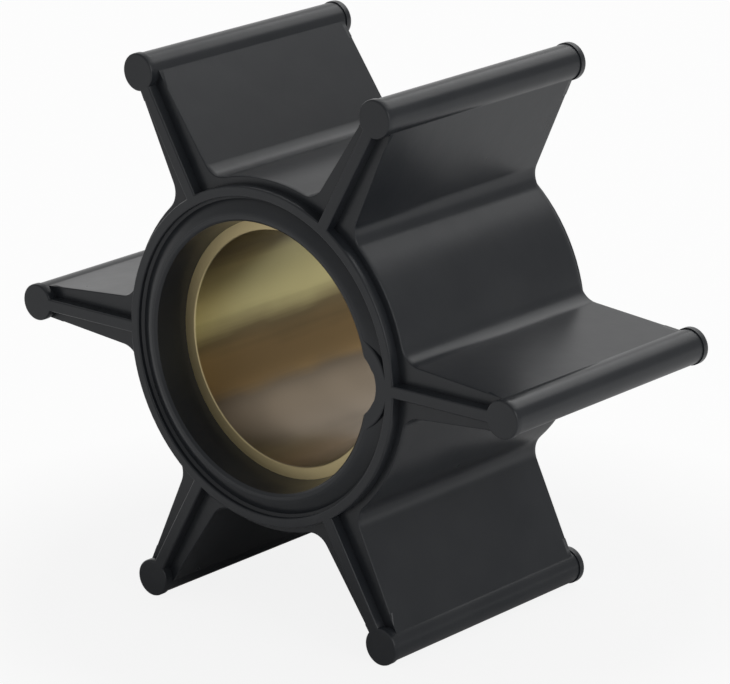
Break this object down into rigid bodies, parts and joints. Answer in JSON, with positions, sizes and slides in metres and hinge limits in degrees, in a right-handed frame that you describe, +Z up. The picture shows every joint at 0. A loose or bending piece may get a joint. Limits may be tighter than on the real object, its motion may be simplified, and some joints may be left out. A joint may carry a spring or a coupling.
{
  "type": "pump impeller",
  "caption": "Flexible rubber pump impeller: straight vanes with beaded tips round a hub, raised sealing rings on both faces and a keyed brass bush.",
  "frame": {"origin": "on the bore axis, midway between the two end faces", "axes": "+Y along the bore axis, -Y towards the seen end face; +X along one vane, in line with the keyway; +Z up"},
  "size_m": [0.0564, 0.026, 0.0492],
  "materials": {
    "rubber": "smooth moulded rubber, slightly satin",
    "brass": "machined brass, bored smooth"
  },
  "bodies": {
    "root": {"rubber_impeller": "rubber", "brass_bush": "brass"}
  },
  "joints": []
}
